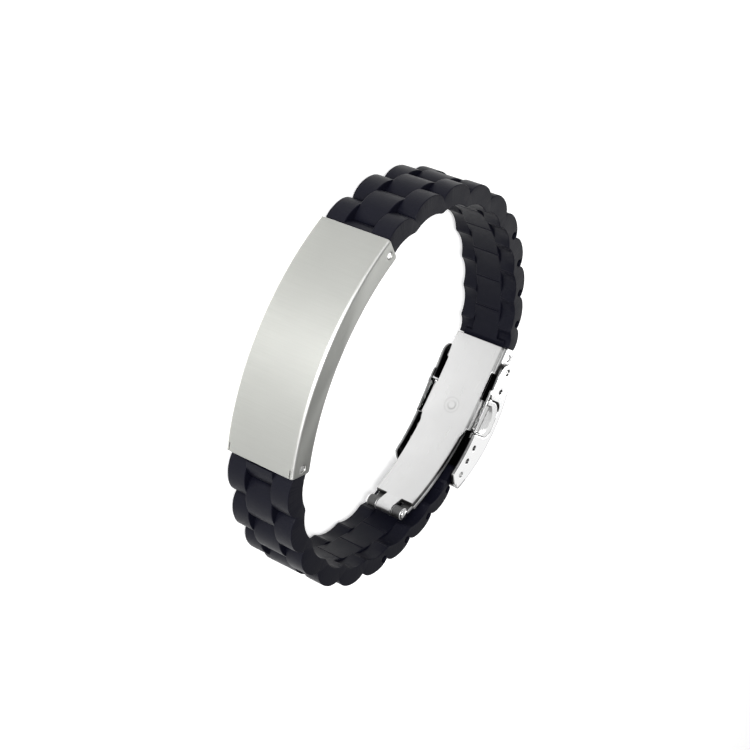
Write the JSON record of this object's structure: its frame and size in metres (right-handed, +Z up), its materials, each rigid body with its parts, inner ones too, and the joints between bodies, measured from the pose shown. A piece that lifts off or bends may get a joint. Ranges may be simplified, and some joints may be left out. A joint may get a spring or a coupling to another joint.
{
  "type": "silicone identity bracelet",
  "caption": "Closed silicone bracelet with rows of rounded lugs, a curved blank steel name plate and a folding clasp with side push buttons, lying on its side.",
  "frame": {"origin": "centre of the footprint, on the surface that the bracelet lies on", "axes": "+X along the name plate's length, towards the strap half that goes into the clasp's cover; +Y from the name plate to the clasp; +Z up across the strap's width"},
  "size_m": [0.0695, 0.0635, 0.013],
  "materials": {
    "silicone": "satin",
    "satin_steel": "satin",
    "polished_steel": "polished"
  },
  "bodies": {
    "bracelet": {"id_plate": "satin_steel", "plate_bar_left": "polished_steel", "plate_bar_right": "polished_steel", "strap_left": "silicone", "strap_right": "silicone", "inner_blade": "satin_steel", "middle_blade": "satin_steel", "fold_pin": "polished_steel", "clasp_cover": "polished_steel", "cover_pin": "polished_steel", "clasp_bar_left": "polished_steel", "clasp_bar_right": "polished_steel"},
    "upper_button": {"button_upper": "polished_steel"},
    "lower_button": {"button_lower": "polished_steel"}
  },
  "joints": [
    {"name": "upper_button_press", "type": "slide", "parent": "bracelet", "child": "upper_button", "axis": [0, 0, -1], "range_m": [0, 0.00045], "stiffness_N_per_m": 1000},
    {"name": "lower_button_press", "type": "slide", "parent": "bracelet", "child": "lower_button", "axis": [0, 0, 1], "range_m": [0, 0.00045], "stiffness_N_per_m": 1000}
  ]
}
